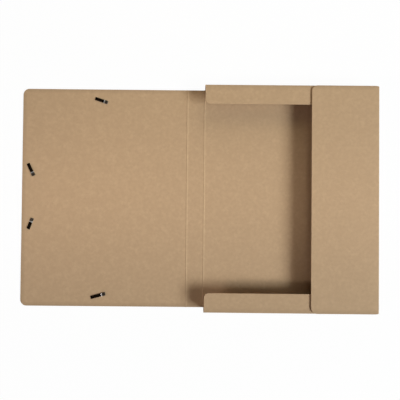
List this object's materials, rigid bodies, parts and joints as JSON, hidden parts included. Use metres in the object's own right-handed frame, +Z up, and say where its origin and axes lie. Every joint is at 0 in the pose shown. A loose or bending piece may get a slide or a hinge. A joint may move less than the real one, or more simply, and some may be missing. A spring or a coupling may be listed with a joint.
{
  "type": "filing box",
  "caption": "Filing box of creased kraft card with a hinged spine and cover, a tray with fold-in flaps, and corner elastics with metal ends that hold it shut.",
  "frame": {"origin": "on the surface that the open box lies on, under the middle of the box", "axes": "+X from the cover's free edge to the tray's side wall, +Y to the top edge, +Z up out of the open tray"},
  "size_m": [0.5164, 0.324, 0.0235],
  "materials": {
    "card": "matte",
    "elastic": "matte",
    "crimp_metal": "satin"
  },
  "bodies": {
    "base": {"back_panel": "card", "spine_crease": "card", "side_wall_crease": "card", "top_wall_crease": "card", "bottom_wall_crease": "card"},
    "spine": {"spine_panel": "card", "cover_crease": "card"},
    "cover": {"front_cover": "card", "upper_elastic": "elastic", "lower_elastic": "elastic", "top_crimp": "crimp_metal", "upper_edge_crimp": "crimp_metal", "lower_edge_crimp": "crimp_metal", "bottom_crimp": "crimp_metal"},
    "side_wall": {"side_wall": "card", "side_flap_crease": "card"},
    "side_flap": {"side_flap": "card"},
    "top_wall": {"top_wall": "card", "top_flap_crease": "card"},
    "top_flap": {"top_flap": "card"},
    "bottom_wall": {"bottom_wall": "card", "bottom_flap_crease": "card"},
    "bottom_flap": {"bottom_flap": "card"}
  },
  "joints": [
    {"name": "spine_fold", "type": "hinge", "parent": "base", "child": "spine", "pos_m": [0.01005, 0, 0.0004], "axis": [0, 1, 0], "range_deg": [0, 90]},
    {"name": "cover_fold", "type": "hinge", "parent": "spine", "child": "cover", "pos_m": [-0.01525, 0, 0.0004], "axis": [0, 1, 0], "range_deg": [0, 89.65]},
    {"name": "side_wall_fold", "type": "hinge", "parent": "base", "child": "side_wall", "pos_m": [0.25785, 0, 0.0004], "axis": [0, 1, 0], "range_deg": [0, 90]},
    {"name": "side_flap_fold", "type": "hinge", "parent": "side_wall", "child": "side_flap", "pos_m": [0.25785, 0, 0.0231], "axis": [0, 1, 0], "range_deg": [0, 90]},
    {"name": "top_wall_fold", "type": "hinge", "parent": "base", "child": "top_wall", "pos_m": [0.13395, 0.1616, 0.0004], "axis": [-1, 0, 0], "range_deg": [0, 90]},
    {"name": "top_flap_fold", "type": "hinge", "parent": "top_wall", "child": "top_flap", "pos_m": [0.13395, 0.1616, 0.022], "axis": [-1, 0, 0], "range_deg": [0, 90]},
    {"name": "bottom_wall_fold", "type": "hinge", "parent": "base", "child": "bottom_wall", "pos_m": [0.13395, -0.1616, 0.0004], "axis": [1, 0, 0], "range_deg": [0, 90]},
    {"name": "bottom_flap_fold", "type": "hinge", "parent": "bottom_wall", "child": "bottom_flap", "pos_m": [0.13395, -0.1616, 0.022], "axis": [1, 0, 0], "range_deg": [0, 90]}
  ],
  "couplings": [
    {"joint": "top_wall_fold", "follows": "side_wall_fold", "ratio": 1},
    {"joint": "bottom_wall_fold", "follows": "side_wall_fold", "ratio": 1},
    {"joint": "top_flap_fold", "follows": "side_flap_fold", "ratio": 1},
    {"joint": "bottom_flap_fold", "follows": "side_flap_fold", "ratio": 1}
  ]
}
